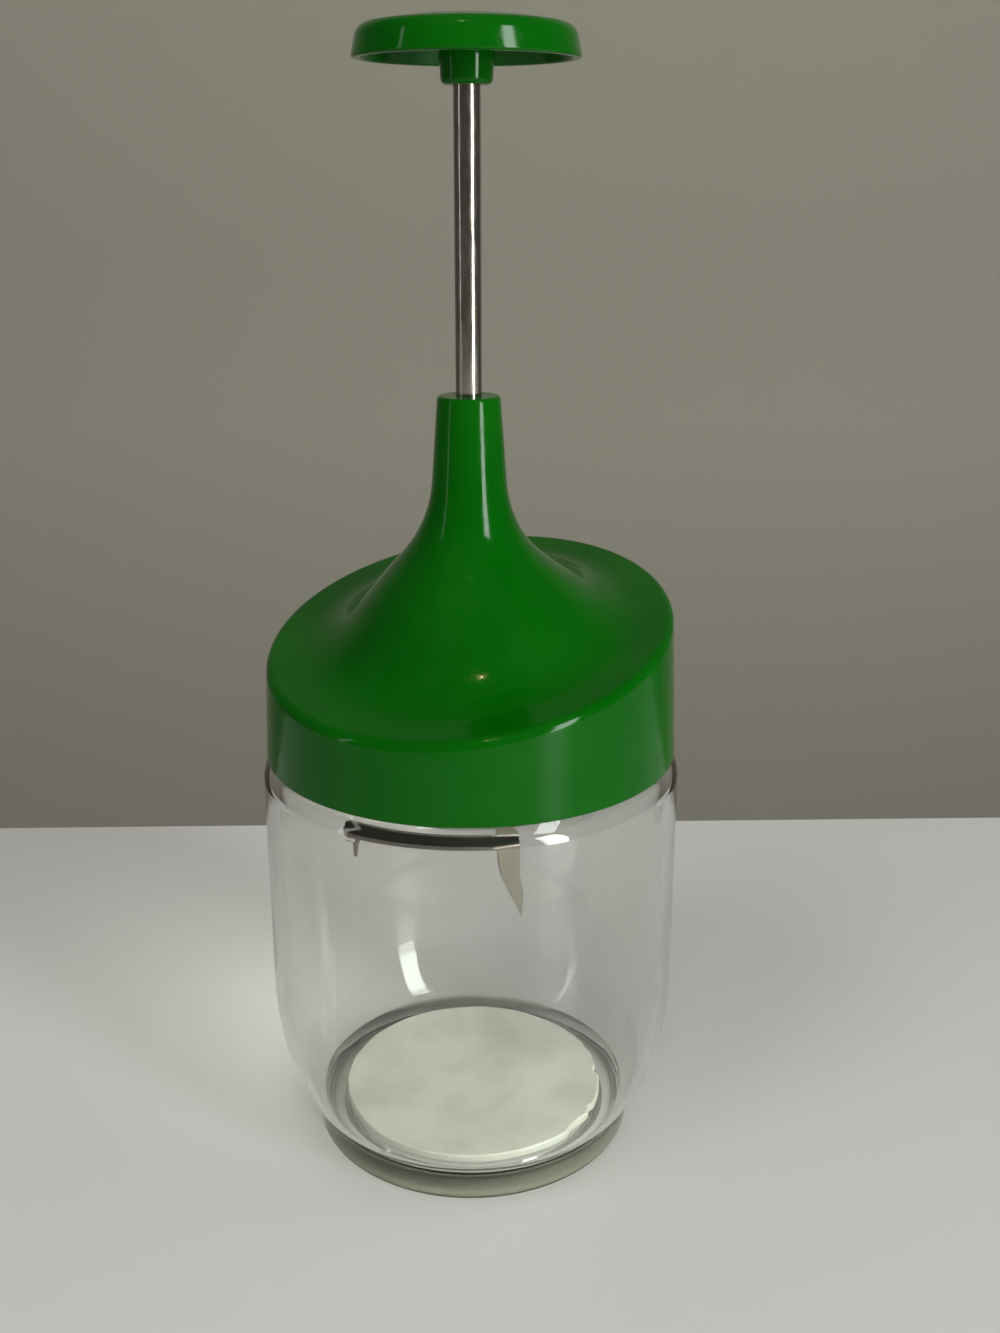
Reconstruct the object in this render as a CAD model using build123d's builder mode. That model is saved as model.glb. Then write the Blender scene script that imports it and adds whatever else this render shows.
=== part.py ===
"""Plunger chopper in a glass jar, as an assembly of separate pieces. Units are millimetres.

Frame: origin in the middle of the jar's foot, on the surface that it stands on. +Z is up, along the
rod. The lid's top slants down towards -Y, which is the front. +X is to the right.
"""

import math
import os

from build123d import *

os.makedirs("parts", exist_ok=True)

# ---- driving dimensions -------------------------------------------------------------------------
JAR_R = 51.0            # outer radius of the jar's wall
JAR_WALL = 3.2          # thickness of the pressed glass
JAR_CURVE_RX = 16.0     # half axes of the elliptical lower wall
JAR_CURVE_RZ = 37.5
JAR_CURVE_Z = 44.0      # where the straight wall turns into the lower curve
JAR_SHOULDER_Z = 98.6   # where the straight wall turns in to the neck
JAR_MOUTH_Z = 116.5     # top of the glass rim
JAR_NECK_R = 46.4       # outer radius of the neck inside the lid
JAR_MOUTH_R = 43.0      # inner radius of the neck
JAR_NECK_IN_Z = 104.4   # inside, the neck widens to the wall between these heights
JAR_WALL_IN_Z = 98.9
FOOT_R = 40.6           # outer radius of the foot ring
FOOT_H = 9.2
FOOT_ROUND = 3.0
FOOT_INNER_R = 35.0     # inner edge of the contact ring
FOOT_CHAMFER = 2.4      # slope from the contact ring up to the raised middle
PUSH_UP_Z = 4.8         # height of the raised middle
FLOOR_Z = 8.0           # inside floor of the jar
FLOOR_R = 35.2

DISC_R = 33.8           # chopping disc
DISC_T = 2.2
DISC_GAP = 0.1          # the disc lies loose on the glass

LID_R = 50.0            # skirt radius at its lower edge
LID_EDGE_Z = 104.3      # lower edge of the skirt
LID_DRAFT = 0.04        # the skirt narrows by this much per mm of height
LID_WALL = 2.2
SLANT_Z = 134.7         # height of the slanted top on the axis
SLANT = 0.25            # its slope, rising towards +Y
RIM_ROUND = 2.0         # rounding of the rim between skirt and top

NECK_TOP_Z = 190.0      # top of the lid's trumpet neck
NECK_TOP_R = 7.3
NECK_FOOT_R = 9.5       # corner where the neck's line meets the cone's line
NECK_FOOT_Z = 160.0
CONE_FOOT_R = 34.0      # corner where the cone's line meets the slanted top
NECK_BLEND = 28.0       # radius of the arc between neck and cone
CONE_BLEND = 20.0       # radius of the arc between cone and slanted top
TILT_START_R = 10.0     # inside this radius the flare is round and level
TILT_END_R = 34.0       # outside this radius it slopes with the lid's top
SPRING_BORE_R = 5.6     # bore for the spring in neck and cup
NECK_ROOF_Z = 187.4     # underside of the neck's closed end

COVER_Z = 117.5         # underside of the inner cover
COVER_T = 2.2
COVER_R = 46.9
SCREW_CIRCLE_R = 38.0   # three bosses, one at the high side and two beside the low side
SCREW_START_DEG = 90.0
BOSS_R = 3.4
BOSS_BORE_R = 1.3
BOSS_BORE_DEPTH = 7.0
SCREW_HEAD_R = 2.7
SCREW_HEAD_H = 1.7
SCREW_R = 1.25

ROD_R = 3.0
ROD_FIT = 0.05          # radial clearance of the rod in its guides
STUD_R = 2.0            # threaded lower end of the rod
CUP_Z = 97.0            # underside of the spring cup
CUP_FLOOR = 4.0
CUP_R = 7.8
SPRING_TOP_Z = 185.0    # where the spring pushes on its upper washer
WASHER_T = 0.6

KNOB_R = 24.85          # palm knob, lower rim
KNOB_RIM_Z = 261.4
KNOB_TOP_Z = 270.3      # middle of the domed top
KNOB_TOP_R = 23.4       # corner between side and dome
KNOB_CORNER_Z = 268.0
KNOB_CORNER_ROUND = 3.2
KNOB_WALL = 2.1
HUB_Z = 256.2           # underside of the knob's hub
HUB_R = 5.6

CUTTER_Z = 90.0         # underside of the cutter's plate
CUTTER_T = 1.0
TOOTH_TIP_Z = 72.4


# ---- shapes used more than once -----------------------------------------------------------------
def polar(radius, degrees):
    """A point in the plan, from its distance to the axis and its direction."""
    turn = math.radians(degrees)
    return (radius * math.cos(turn), radius * math.sin(turn))


def flat_ring(inner_r, outer_r, bottom, height):
    """A washer, bush or gasket: a flat ring around the axis."""
    with BuildPart() as ring:
        with BuildSketch(Plane.XY.offset(bottom)):
            Circle(outer_r)
            Circle(inner_r, mode=Mode.SUBTRACT)
        extrude(amount=height)
    return ring.part


def flare_outline(steps):
    """Points along the trumpet's outline, from the neck's top to the foot of the flare."""
    with BuildLine(mode=Mode.PRIVATE) as outline:
        FilletPolyline(
            (NECK_TOP_R, NECK_TOP_Z),
            (NECK_FOOT_R, NECK_FOOT_Z),
            (CONE_FOOT_R, SLANT_Z),
            (CONE_FOOT_R + 12, SLANT_Z),
            radius=[NECK_BLEND, CONE_BLEND],
        )
    wire = outline.wires()[0]
    runs = outline.edges().sort_by(Axis.X)
    neck_line, foot_line = runs[0], runs[-1]
    start = neck_line.length * 0.5 / wire.length
    end = 1 - foot_line.length / wire.length
    return [wire @ (start + (end - start) * step / steps) for step in range(steps + 1)]


def tilt(radius_here):
    """Slope of the flare's ring at a radius: level at the neck, the lid's slope at its foot."""
    share = (radius_here - TILT_START_R) / (TILT_END_R - TILT_START_R)
    share = min(1.0, max(0.0, share))
    return SLANT * share * share * (3 - 2 * share)


def ring_plane(height, slope):
    """A plane through the axis at a height, rising towards +Y."""
    return Plane(origin=(0, 0, height), x_dir=(1, 0, 0), z_dir=(0, -slope, 1))


def ring_section(radius, height, slope):
    """The tilted ellipse that stands over a circle of the given radius in the plan."""
    with BuildSketch(ring_plane(height, slope)) as section:
        Ellipse(radius, radius * math.sqrt(1 + slope**2))
    return section.sketch


def slanted_drum(lower_r, upper_r, bottom, top, plane_height):
    """A drafted drum cut off along the slant of the lid's top."""
    with BuildPart() as drum:
        with BuildSketch(Plane.XZ):
            Polygon((0, bottom), (lower_r, bottom), (upper_r, top), (0, top), align=None)
        revolve(axis=Axis.Z)
        split(bisect_by=ring_plane(plane_height, SLANT), keep=Keep.BOTTOM)
    return drum.part


# ---- jar and chopping disc ----------------------------------------------------------------------
def lower_curve(centre_r, radius_x, radius_z, height):
    """Radius of an elliptical lower wall at a height."""
    drop = (JAR_CURVE_Z - height) / radius_z
    return centre_r + radius_x * math.sqrt(1 - drop * drop)


with BuildPart() as glass_jar:
    crease_r = lower_curve(JAR_R - JAR_CURVE_RX, JAR_CURVE_RX, JAR_CURVE_RZ, FOOT_H)
    middle_z = 17.0
    middle_r = lower_curve(JAR_R - JAR_CURVE_RX, JAR_CURVE_RX, JAR_CURVE_RZ, middle_z)
    inner_r = JAR_R - JAR_WALL
    inside_rx = JAR_CURVE_RX - JAR_WALL
    inside_middle_r = lower_curve(JAR_R - JAR_CURVE_RX, inside_rx, JAR_CURVE_RZ - 2.0, middle_z)
    with BuildSketch(Plane.XZ):
        with BuildLine():
            Line((0, PUSH_UP_Z), (FOOT_INNER_R - FOOT_CHAMFER, PUSH_UP_Z))
            Line((FOOT_INNER_R - FOOT_CHAMFER, PUSH_UP_Z), (FOOT_INNER_R, 0))
            Line((FOOT_INNER_R, 0), (FOOT_R - FOOT_ROUND, 0))
            RadiusArc((FOOT_R - FOOT_ROUND, 0), (FOOT_R, FOOT_ROUND), -FOOT_ROUND)
            Line((FOOT_R, FOOT_ROUND), (FOOT_R + 0.3, FOOT_H - 0.6))
            Line((FOOT_R + 0.3, FOOT_H - 0.6), (crease_r, FOOT_H))
            Spline(
                (crease_r, FOOT_H),
                (middle_r, middle_z),
                (JAR_R, JAR_CURVE_Z),
                tangents=[(1.0, 0.92), (0, 1)],
            )
            Line((JAR_R, JAR_CURVE_Z), (JAR_R, JAR_SHOULDER_Z))
            shoulder = JAR_R - JAR_NECK_R
            RadiusArc((JAR_R, JAR_SHOULDER_Z), (JAR_NECK_R, JAR_SHOULDER_Z + shoulder), -shoulder)
            Line((JAR_NECK_R, JAR_SHOULDER_Z + shoulder), (JAR_NECK_R, JAR_MOUTH_Z - 1.2))
            RadiusArc((JAR_NECK_R, JAR_MOUTH_Z - 1.2), (JAR_NECK_R - 1.2, JAR_MOUTH_Z), -1.2)
            Line((JAR_NECK_R - 1.2, JAR_MOUTH_Z), (JAR_MOUTH_R + 1.0, JAR_MOUTH_Z))
            RadiusArc((JAR_MOUTH_R + 1.0, JAR_MOUTH_Z), (JAR_MOUTH_R, JAR_MOUTH_Z - 1.0), -1.0)
            Line((JAR_MOUTH_R, JAR_MOUTH_Z - 1.0), (JAR_MOUTH_R, JAR_NECK_IN_Z))
            Spline(
                (JAR_MOUTH_R, JAR_NECK_IN_Z),
                (inner_r, JAR_WALL_IN_Z),
                tangents=[(0, -1), (0, -1)],
            )
            Line((inner_r, JAR_WALL_IN_Z), (inner_r, JAR_CURVE_Z))
            Spline(
                (inner_r, JAR_CURVE_Z),
                (inside_middle_r, middle_z),
                (FLOOR_R, FLOOR_Z),
                tangents=[(0, -1), (-1, -0.12)],
            )
            Line((FLOOR_R, FLOOR_Z), (0, FLOOR_Z))
            Line((0, FLOOR_Z), (0, PUSH_UP_Z))
        make_face()
    revolve(axis=Axis.Z)
glass_jar.part.label = "glass_jar"
export_step(glass_jar.part, "parts/glass_jar.step")

with BuildPart() as chopping_disc:
    with BuildSketch(Plane.XY.offset(FLOOR_Z + DISC_GAP)):
        Circle(DISC_R)
    extrude(amount=DISC_T)
    fillet(chopping_disc.edges(), 0.5)
chopping_disc.part.label = "chopping_disc"
export_step(chopping_disc.part, "parts/chopping_disc.step")

# ---- lid shell ----------------------------------------------------------------------------------
DRUM_TOP_Z = 152.0      # above the rim's highest point, cut off by the slant
FLARE_STEPS = 14
# rings of the lid's top outside the flare, as (distance beyond LID_R, drop below the slant)
OUTSIDE_RINGS = [(6.0, 0.9), (1.5, 0.1), (-3.5, 0.0)]
top_gap = LID_WALL * math.sqrt(1 + SLANT**2)
inner_flare_foot = (32.5, SLANT_Z - top_gap - 0.5)
INNER_FLARE = [(5.6, 168.0), (6.6, 160.0), (9.0, 155.0), (15.0, 148.0), (24.0, 139.4), inner_flare_foot]


def draft_r(base_r, height):
    """Radius of a drafted wall at a height above the skirt's lower edge."""
    return base_r - LID_DRAFT * (height - LID_EDGE_Z)


inner_base_r = LID_R - LID_WALL
inner_drum = slanted_drum(
    draft_r(inner_base_r, LID_EDGE_Z - 1),
    draft_r(inner_base_r, DRUM_TOP_Z),
    LID_EDGE_Z - 1,
    DRUM_TOP_Z,
    SLANT_Z - top_gap,
)

with BuildPart() as lid_shell:
    # the top, as tilted rings from outside the rim up the flare to the neck
    flare = flare_outline(FLARE_STEPS)
    rings = [(LID_R + reach, SLANT_Z - drop) for reach, drop in OUTSIDE_RINGS]
    rings += [(point.X, point.Y) for point in reversed(flare)]
    add(loft([ring_section(r, z, tilt(r)) for r, z in rings]))
    extrude(ring_section(*rings[0], SLANT), amount=60, dir=(0, 0, -1))
    with BuildSketch(Plane.XY.offset(flare[0].Y)):
        Circle(flare[0].X)
    with BuildSketch(Plane.XY.offset(NECK_TOP_Z)):
        Circle(NECK_TOP_R)
    loft()
    # the drafted skirt cuts it off all round
    with BuildSketch(Plane.XZ):
        Polygon(
            (0, LID_EDGE_Z),
            (LID_R, LID_EDGE_Z),
            (draft_r(LID_R, NECK_TOP_Z + 5), NECK_TOP_Z + 5),
            (0, NECK_TOP_Z + 5),
            align=None,
        )
    revolve(axis=Axis.Z, mode=Mode.INTERSECT)
    rim = lid_shell.edges().sort_by_distance((0, -LID_R, SLANT_Z - SLANT * LID_R))[0]
    fillet(rim, RIM_ROUND)
    neck_edge = lid_shell.edges().filter_by(GeomType.CIRCLE).sort_by(Axis.Z)[-1]
    fillet(neck_edge, 0.9)
    # hollow underside
    add(inner_drum, mode=Mode.SUBTRACT)
    add(
        loft([ring_section(r, z, tilt(r)) for r, z in reversed(INNER_FLARE)]),
        mode=Mode.SUBTRACT,
    )
    # screw bosses down to the inner cover
    with BuildSketch(Plane.XY.offset(COVER_Z + COVER_T)):
        with PolarLocations(SCREW_CIRCLE_R, 3, start_angle=SCREW_START_DEG):
            Circle(BOSS_R)
    extrude(until=Until.NEXT)
    with BuildSketch(Plane.XY.offset(COVER_Z + COVER_T)):
        with PolarLocations(SCREW_CIRCLE_R, 3, start_angle=SCREW_START_DEG):
            Circle(BOSS_BORE_R)
    extrude(amount=BOSS_BORE_DEPTH, mode=Mode.SUBTRACT)
    # bores for the spring and for the rod
    with BuildSketch(Plane.XY.offset(SLANT_Z)):
        Circle(SPRING_BORE_R)
    extrude(amount=NECK_ROOF_Z - SLANT_Z, mode=Mode.SUBTRACT)
    with BuildSketch(Plane.XY.offset(NECK_ROOF_Z - 1)):
        Circle(ROD_R + ROD_FIT)
    extrude(amount=NECK_TOP_Z - NECK_ROOF_Z + 2, mode=Mode.SUBTRACT)
lid_shell.part.label = "lid_shell"
export_step(lid_shell.part, "parts/lid_shell.step")

# ---- inner cover, its screws and gasket ---------------------------------------------------------
with BuildPart() as inner_cover:
    with BuildSketch(Plane.XZ):
        Polygon(
            (ROD_R + 1.6, CUP_Z),
            (CUP_R - 0.6, CUP_Z),
            (CUP_R, CUP_Z + 0.6),
            (CUP_R, COVER_Z),
            (JAR_MOUTH_R - 2.0, COVER_Z),
            (JAR_MOUTH_R - 2.0, COVER_Z - 3.0),
            (JAR_MOUTH_R - 0.5, COVER_Z - 3.0),
            (JAR_MOUTH_R - 0.5, COVER_Z),
            (COVER_R, COVER_Z),
            (COVER_R, COVER_Z + COVER_T),
            (CUP_R, COVER_Z + COVER_T),
            (CUP_R, COVER_Z + COVER_T + 4.0),
            (SPRING_BORE_R, COVER_Z + COVER_T + 4.0),
            (SPRING_BORE_R, CUP_Z + CUP_FLOOR),
            (ROD_R + 1.6, CUP_Z + CUP_FLOOR),
            align=None,
        )
    revolve(axis=Axis.Z)
    with BuildSketch(Plane.XY.offset(COVER_Z - 1)):
        with PolarLocations(SCREW_CIRCLE_R, 3, start_angle=SCREW_START_DEG):
            Circle(1.7)
    extrude(amount=COVER_T + 2, mode=Mode.SUBTRACT)
inner_cover.part.label = "inner_cover"
export_step(inner_cover.part, "parts/inner_cover.step")

with BuildPart() as cover_screws:
    standing = (Align.CENTER, Align.CENTER, Align.MIN)
    shank = SCREW_HEAD_H + COVER_T + BOSS_BORE_DEPTH - 0.5
    with PolarLocations(SCREW_CIRCLE_R, 3, start_angle=SCREW_START_DEG):
        with Locations((0, 0, COVER_Z - SCREW_HEAD_H)):
            Cylinder(SCREW_HEAD_R, SCREW_HEAD_H, align=standing)
            Cylinder(SCREW_R, shank, align=standing)
            Box(3.4, 0.8, 1.8, mode=Mode.SUBTRACT)
            Box(0.8, 3.4, 1.8, mode=Mode.SUBTRACT)
cover_screws.part.label = "cover_screws"
export_step(cover_screws.part, "parts/cover_screws.step")

gasket_z = JAR_MOUTH_Z + 0.1
mouth_gasket = flat_ring(JAR_MOUTH_R - 0.2, JAR_NECK_R + 0.2, gasket_z, COVER_Z - gasket_z)
mouth_gasket.label = "mouth_gasket"
export_step(mouth_gasket, "parts/mouth_gasket.step")

# ---- guide bush, return spring and its seats ----------------------------------------------------
bush_flange = 0.8
with BuildPart() as guide_bush:
    with BuildSketch(Plane.XY.offset(CUP_Z)):
        Circle(ROD_R + 1.58)
    extrude(amount=CUP_FLOOR)
    with BuildSketch(Plane.XY.offset(CUP_Z + CUP_FLOOR)):
        Circle(SPRING_BORE_R - 0.2)
    extrude(amount=bush_flange)
    with BuildSketch(Plane.XY.offset(CUP_Z - 1)):
        Circle(ROD_R + ROD_FIT)
    extrude(amount=CUP_FLOOR + bush_flange + 2, mode=Mode.SUBTRACT)
guide_bush.part.label = "guide_bush"
export_step(guide_bush.part, "parts/guide_bush.step")

spring_foot_z = CUP_Z + CUP_FLOOR + bush_flange + WASHER_T
lower_spring_washer = flat_ring(ROD_R + 0.35, SPRING_BORE_R - 0.3, spring_foot_z - WASHER_T, WASHER_T)
lower_spring_washer.label = "lower_spring_washer"
export_step(lower_spring_washer, "parts/lower_spring_washer.step")

WIRE_R = 0.5
COIL_R = 4.35
COIL_TURNS = 15
with BuildPart() as return_spring:
    coil_height = SPRING_TOP_Z - spring_foot_z - 2 * WIRE_R - 0.1
    with BuildLine() as coil:
        Helix(coil_height / COIL_TURNS, coil_height, COIL_R, center=(0, 0, spring_foot_z + WIRE_R + 0.05))
    with BuildSketch(Plane(origin=coil.line @ 0, z_dir=coil.line % 0)):
        Circle(WIRE_R)
    sweep(is_frenet=True)
return_spring.part.label = "return_spring"
export_step(return_spring.part, "parts/return_spring.step")

upper_spring_washer = flat_ring(ROD_R + ROD_FIT, SPRING_BORE_R - 0.35, SPRING_TOP_Z, WASHER_T)
upper_spring_washer.label = "upper_spring_washer"
export_step(upper_spring_washer, "parts/upper_spring_washer.step")

# ---- rod, clip and damping ring -----------------------------------------------------------------
CLIP_T = 0.7
clip_z = SPRING_TOP_Z + WASHER_T + 0.05
groove_r = 2.3
ROD_TOP_Z = 267.0
STUD_END_Z = 86.3
with BuildPart() as plunger_rod:
    with BuildSketch(Plane.XZ):
        Polygon(
            (0, STUD_END_Z),
            (STUD_R - 0.4, STUD_END_Z),
            (STUD_R, STUD_END_Z + 0.4),
            (STUD_R, CUTTER_Z + CUTTER_T),
            (ROD_R, CUTTER_Z + CUTTER_T),
            (ROD_R, clip_z - 0.05),
            (groove_r, clip_z - 0.05),
            (groove_r, clip_z + CLIP_T + 0.05),
            (ROD_R, clip_z + CLIP_T + 0.05),
            (ROD_R, ROD_TOP_Z - 0.5),
            (ROD_R - 0.5, ROD_TOP_Z),
            (0, ROD_TOP_Z),
            align=None,
        )
    revolve(axis=Axis.Z)
plunger_rod.part.label = "plunger_rod"
export_step(plunger_rod.part, "parts/plunger_rod.step")

with BuildPart() as retaining_clip:
    with BuildSketch(Plane.XY.offset(clip_z)):
        Circle(4.7)
        Circle(groove_r + 0.03, mode=Mode.SUBTRACT)
        with Locations((0, -4.0)):
            Rectangle(3.6, 5.0, mode=Mode.SUBTRACT)
        with PolarLocations(3.2, 2, start_angle=35, angular_range=110):
            Circle(0.7, mode=Mode.SUBTRACT)
    extrude(amount=CLIP_T)
retaining_clip.part.label = "retaining_clip"
export_step(retaining_clip.part, "parts/retaining_clip.step")

damper_z = clip_z + CLIP_T + 0.05
damping_ring = flat_ring(ROD_R + 0.03, SPRING_BORE_R - 0.4, damper_z, NECK_ROOF_Z - 0.1 - damper_z)
damping_ring.label = "damping_ring"
export_step(damping_ring, "parts/damping_ring.step")

# ---- knob ---------------------------------------------------------------------------------------
KNOB_ROOF_T = 2.3        # thickness of the domed top


def dome_z(radius_here, top):
    """Height of the shallow dome at a radius, below a given middle."""
    return top - (KNOB_TOP_Z - KNOB_CORNER_Z) * (radius_here / KNOB_TOP_R) ** 2


def dome_arc(start_r, end_r, top):
    """The dome's line between two radii."""
    points = [(r, dome_z(r, top)) for r in (start_r, (start_r + end_r) / 2, end_r)]
    return ThreePointArc(*points)


with BuildPart() as knob:
    roof_z = KNOB_TOP_Z - KNOB_ROOF_T
    hub_top = (HUB_R + 0.7, dome_z(HUB_R + 0.7, roof_z))
    inner_corner = (KNOB_TOP_R - KNOB_WALL, dome_z(KNOB_TOP_R - KNOB_WALL, roof_z))
    with BuildSketch(Plane.XZ):
        with BuildLine():
            Polyline((0, KNOB_TOP_Z), (0, HUB_Z), (HUB_R, HUB_Z), hub_top)
            dome_arc(hub_top[0], inner_corner[0], roof_z)
            Polyline(
                inner_corner,
                (KNOB_R - KNOB_WALL, KNOB_RIM_Z),
                (KNOB_R, KNOB_RIM_Z),
                (KNOB_TOP_R, KNOB_CORNER_Z),
            )
            dome_arc(KNOB_TOP_R, 0, KNOB_TOP_Z)
        make_face()
    revolve(axis=Axis.Z)
    rounds = [
        ((KNOB_TOP_R, KNOB_CORNER_Z), KNOB_CORNER_ROUND),
        (inner_corner, 1.6),
        ((KNOB_R, KNOB_RIM_Z), 0.6),
        ((KNOB_R - KNOB_WALL, KNOB_RIM_Z), 0.6),
        ((HUB_R, HUB_Z), 1.3),
        (hub_top, 1.0),
    ]
    for (corner_r, corner_z), radius in rounds:
        edges = knob.edges().filter_by(GeomType.CIRCLE)
        fillet(edges.sort_by_distance((corner_r, 0, corner_z))[0], radius)
    with BuildSketch(Plane.XY.offset(HUB_Z - 1)):
        Circle(ROD_R + 0.02)
    extrude(amount=ROD_TOP_Z + 0.1 - HUB_Z + 1, mode=Mode.SUBTRACT)
knob.part.label = "knob"
export_step(knob.part, "parts/knob.step")

# ---- cutter -------------------------------------------------------------------------------------
# One arm of the stamped plate, as (radius, direction): corner, swelling edge, tooth root, notch.
ARM_CORNER = (38.4, -115.0)
ARM_SWELL = (32.2, -85.8)
ROOT_START = (31.0, -51.8)
ROOT_END = (30.8, -40.5)
NOTCH = (21.0, -33.0)
ARMS = 3


def turned(point, arm):
    """A point of the first arm, moved to the given arm."""
    return polar(point[0], point[1] + arm * 360 / ARMS)


def tooth_plane(arm):
    """Plane of a tooth's outer face: X runs from the root's start to its end, Y is up."""
    start = Vector(*turned(ROOT_START, arm), CUTTER_Z)
    end = Vector(*turned(ROOT_END, arm), CUTTER_Z)
    along = (end - start).normalized()
    return Plane(origin=end, x_dir=along, z_dir=along.cross(Vector(0, 0, 1)))


with BuildPart() as cutter:
    with BuildSketch(Plane.XY.offset(CUTTER_Z)) as plate_outline:
        with BuildLine():
            for arm in range(ARMS):
                ThreePointArc(turned(ARM_CORNER, arm), turned(ARM_SWELL, arm), turned(ROOT_START, arm))
                Line(turned(ROOT_START, arm), turned(ROOT_END, arm))
                Line(turned(ROOT_END, arm), turned(NOTCH, arm))
                Line(turned(NOTCH, arm), turned(ARM_CORNER, arm + 1))
        make_face()
        for sharp in (ARM_CORNER, NOTCH):
            places = [turned(sharp, arm) for arm in range(ARMS)]
            corners = [plate_outline.vertices().sort_by_distance(place)[0] for place in places]
            fillet(corners, 3.0)
        Circle(STUD_R + 0.05, mode=Mode.SUBTRACT)
    extrude(amount=CUTTER_T)
    tip_y = TOOTH_TIP_Z - CUTTER_Z
    root_w = math.dist(turned(ROOT_START, 0), turned(ROOT_END, 0))
    for arm in range(ARMS):
        with BuildSketch(tooth_plane(arm)):
            with BuildLine():
                Line((-root_w, CUTTER_T), (0, CUTTER_T))
                Line((0, CUTTER_T), (0, -6.5))
                Line((0, -6.5), (0.9, -12.0))
                Line((0.9, -12.0), (0.5, tip_y))
                Line((0.5, tip_y), (-3.9, -7.8))
                ThreePointArc((-3.9, -7.8), (-4.75, -4.9), (-5.1, -1.8))
                ThreePointArc((-5.1, -1.8), (-5.5, -0.6), (-root_w, 0))
                Line((-root_w, 0), (-root_w, CUTTER_T))
            make_face()
        extrude(amount=-CUTTER_T)
    bends = []
    for arm in range(ARMS):
        middle = (Vector(*turned(ROOT_START, arm)) + Vector(*turned(ROOT_END, arm))) / 2
        bend_at = (middle.X, middle.Y, CUTTER_Z + CUTTER_T)
        bends.append(cutter.edges().sort_by_distance(bend_at)[0])
    fillet(bends, 0.8)
cutter.part.label = "cutter"
export_step(cutter.part, "parts/cutter.step")

cutter_collar = flat_ring(ROD_R + 0.03, 6.5, CUTTER_Z + CUTTER_T, CUP_Z - 0.3 - CUTTER_Z - CUTTER_T)
cutter_collar.label = "cutter_collar"
export_step(cutter_collar, "parts/cutter_collar.step")

NUT_TOP_Z = CUTTER_Z - 0.8
cutter_washer = flat_ring(STUD_R + 0.05, 5.5, NUT_TOP_Z, CUTTER_Z - NUT_TOP_Z)
cutter_washer.label = "cutter_washer"
export_step(cutter_washer, "parts/cutter_washer.step")

with BuildPart() as cutter_nut:
    hex_h = 3.4
    dome_r = 3.3
    dome_h = 2.5
    with BuildSketch(Plane.XY.offset(NUT_TOP_Z - hex_h)):
        RegularPolygon(3.5, 6, major_radius=False)
    extrude(amount=hex_h)
    with BuildSketch(Plane.XZ):
        with BuildLine():
            dome_base = (dome_r, NUT_TOP_Z - hex_h)
            dome_tip = (0, NUT_TOP_Z - hex_h - dome_h)
            Spline(dome_base, dome_tip, tangents=[(0, -1), (-1, 0)])
            Line(dome_tip, (0, NUT_TOP_Z - hex_h))
            Line((0, NUT_TOP_Z - hex_h), dome_base)
        make_face()
    revolve(axis=Axis.Z)
    with BuildSketch(Plane.XY.offset(STUD_END_Z - 0.1)):
        Circle(STUD_R + 0.02)
    extrude(amount=NUT_TOP_Z - STUD_END_Z + 0.2, mode=Mode.SUBTRACT)
cutter_nut.part.label = "cutter_nut"
export_step(cutter_nut.part, "parts/cutter_nut.step")
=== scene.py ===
"""Looks of a plunger chopper: a glass jar, a slanted green lid, a steel plunger and its cutter.

Lengths are given in millimetres in the dataclasses and turned to metres where a mesh is made.
The frame has +Z up along the rod, and the lid's top slants down towards -Y.
"""

import logging
import math
import random
from dataclasses import dataclass, field
from enum import Enum
from typing import Any, Sequence

import bmesh
import bpy
from mathutils import Matrix, Vector, noise


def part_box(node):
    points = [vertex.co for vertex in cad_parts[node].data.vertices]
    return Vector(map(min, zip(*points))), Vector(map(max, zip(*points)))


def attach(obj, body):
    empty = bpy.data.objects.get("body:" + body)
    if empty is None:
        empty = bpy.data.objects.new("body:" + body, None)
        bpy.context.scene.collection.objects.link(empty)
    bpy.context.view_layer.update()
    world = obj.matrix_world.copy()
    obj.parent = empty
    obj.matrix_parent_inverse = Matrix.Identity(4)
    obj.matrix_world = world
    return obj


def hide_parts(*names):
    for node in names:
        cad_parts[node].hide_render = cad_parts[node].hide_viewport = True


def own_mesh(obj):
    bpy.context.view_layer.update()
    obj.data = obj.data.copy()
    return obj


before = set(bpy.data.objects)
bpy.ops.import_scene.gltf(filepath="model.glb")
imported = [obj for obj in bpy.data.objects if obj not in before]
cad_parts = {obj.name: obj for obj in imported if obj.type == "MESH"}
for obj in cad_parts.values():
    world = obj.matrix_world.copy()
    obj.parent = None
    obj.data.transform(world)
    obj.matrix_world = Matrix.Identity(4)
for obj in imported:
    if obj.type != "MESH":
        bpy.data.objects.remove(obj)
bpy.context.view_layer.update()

MM = 0.001
COIL_POINTS = 420  # 28 for each of the spring's 15 turns
Point = tuple[float, float]
Corner = tuple[float, float, float]
log = logging.getLogger("chopper")


# ---- colour and node helpers --------------------------------------------------------------------
def linear(hex_colour: str, alpha: float = 1.0) -> tuple[float, float, float, float]:
    """Turn an sRGB hex colour into Blender's linear RGBA.

    Args:
        hex_colour: colour as "#rrggbb".
        alpha: opacity of the result.

    Returns:
        The linear red, green and blue, and the alpha.
    """
    channels = [int(hex_colour[i:i + 2], 16) / 255 for i in (1, 3, 5)]
    red, green, blue = (c / 12.92 if c <= 0.04045 else ((c + 0.055) / 1.055) ** 2.4 for c in channels)
    return (red, green, blue, alpha)


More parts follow.
